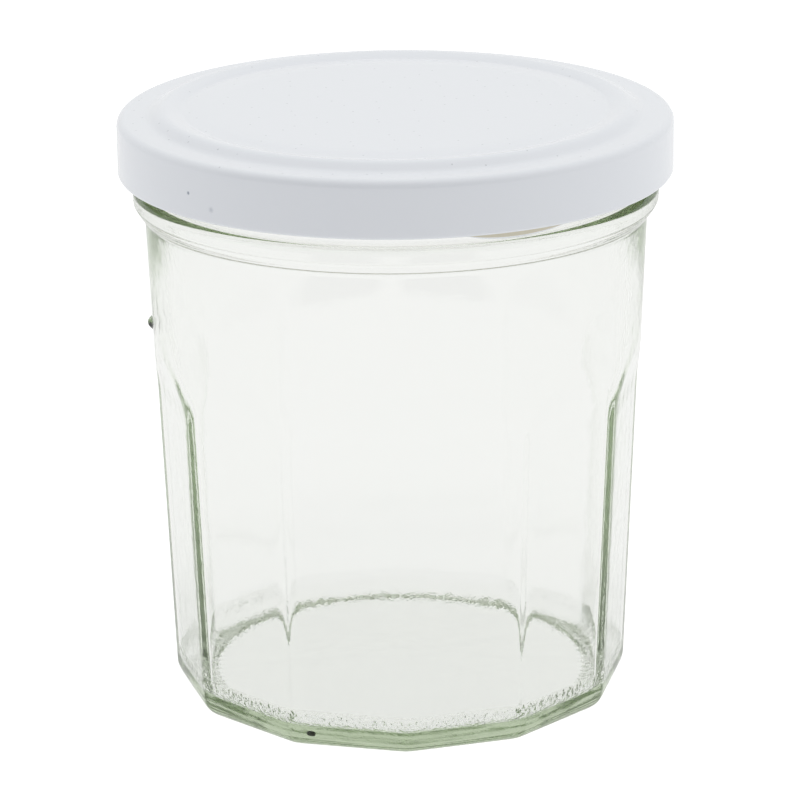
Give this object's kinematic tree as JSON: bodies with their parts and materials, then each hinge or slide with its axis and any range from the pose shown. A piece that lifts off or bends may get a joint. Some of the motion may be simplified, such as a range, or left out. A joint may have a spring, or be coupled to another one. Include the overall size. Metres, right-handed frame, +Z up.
{
  "type": "jam jar",
  "caption": "Empty clear glass jam jar with flat panels round its lower body and a white twist-off steel lid.",
  "frame": {"origin": "on the jar's axis, at the level of the flat ring that it stands on", "axes": "+Z up along the jar's axis; -Y is the front of the picture, towards a corner between two panels"},
  "size_m": [0.085, 0.085, 0.093],
  "materials": {
    "clear_glass": "clear pressed glass with a faint green tint",
    "lid_paint": "glossy cool white enamel on thin steel"
  },
  "bodies": {
    "root": {"glass_jar": "clear_glass", "lid": "lid_paint"}
  },
  "joints": []
}
